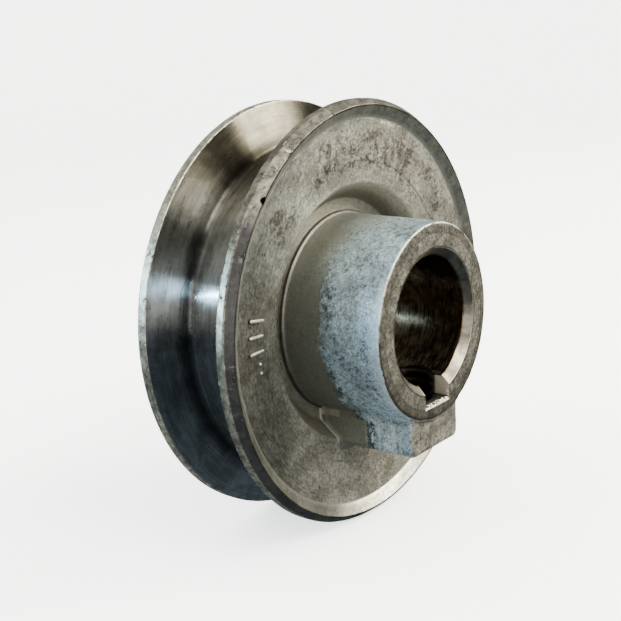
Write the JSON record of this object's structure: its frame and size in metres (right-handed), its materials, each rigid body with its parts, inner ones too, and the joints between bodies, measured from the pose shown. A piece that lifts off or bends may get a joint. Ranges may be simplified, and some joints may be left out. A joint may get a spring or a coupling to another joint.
{
  "type": "v belt pulley",
  "caption": "Small die-cast V-belt pulley with a single groove, an offset keyed hub and a socket set screw in a boss under the hub.",
  "frame": {"origin": "on the bore's axis, in the middle plane of the belt groove", "axes": "+Y along the bore from the hub's end to the rear face; -Z towards the keyway and the set-screw boss"},
  "size_m": [0.0636, 0.028, 0.0634],
  "materials": {
    "cast_zinc": "die-cast zinc alloy, worn and stained, machined in the groove and bore",
    "screw_steel": "black oxide alloy steel"
  },
  "bodies": {
    "casting": {"pulley_casting": "cast_zinc"},
    "screw": {"set_screw": "screw_steel"}
  },
  "joints": [
    {"name": "set_screw_travel", "type": "slide", "parent": "casting", "child": "screw", "axis": [0, 0, 1], "range_m": [-0.0053, 0.0027]}
  ]
}
